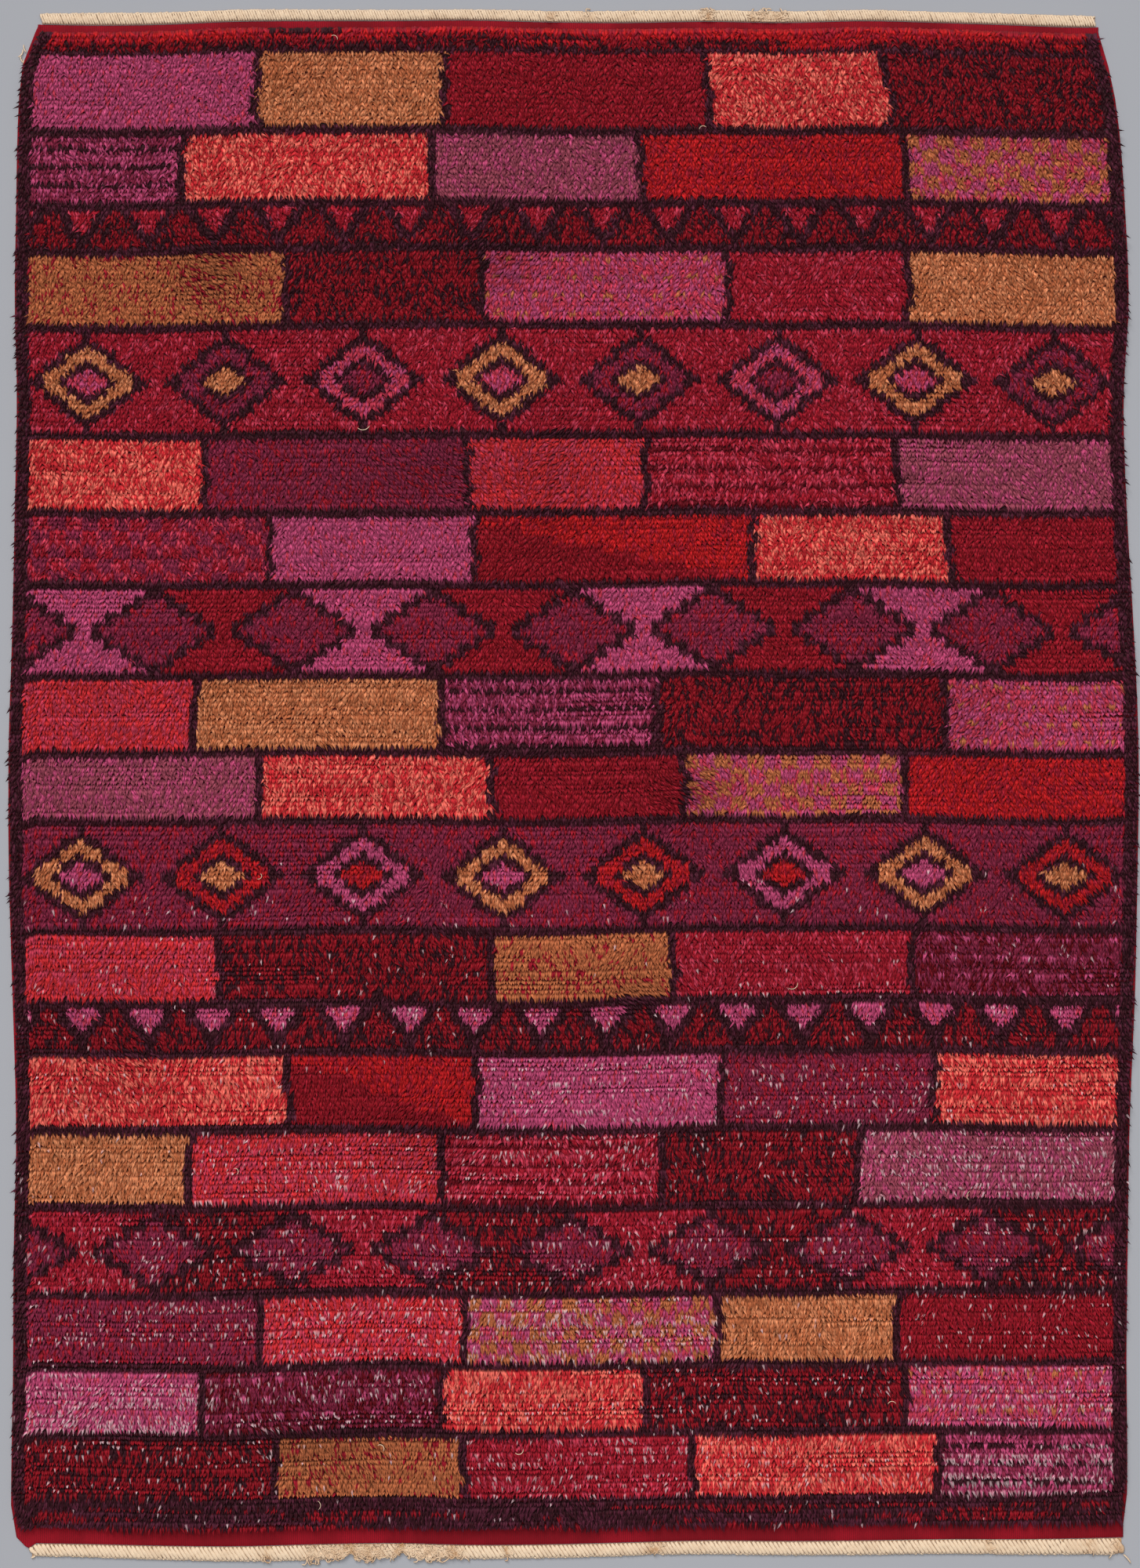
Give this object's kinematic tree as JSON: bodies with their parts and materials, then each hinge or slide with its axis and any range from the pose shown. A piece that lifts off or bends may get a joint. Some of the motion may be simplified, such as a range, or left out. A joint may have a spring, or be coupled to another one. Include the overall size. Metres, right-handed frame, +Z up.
{
  "type": "pile rug",
  "caption": "Rectangular knotted-pile rug lying flat, with thin woven selvedges, a flat-woven band and a flat plaited warp edge at each end.",
  "frame": {"origin": "middle of the underside, on the floor that the rug lies on", "axes": "+Z up out of the pile, +Y along the rug towards its far end, the top of the picture, and +X to the right; the pile leans towards -Y"},
  "size_m": [1.744, 2.4049, 0.0137],
  "materials": {
    "wool_pile": "knotted wool pile in reds, wine, pink and ochre",
    "warp_yarn": "plaited undyed yarn"
  },
  "bodies": {
    "root": {"pile_cloth": "wool_pile", "far_plait": "warp_yarn", "near_plait": "warp_yarn"}
  },
  "joints": []
}
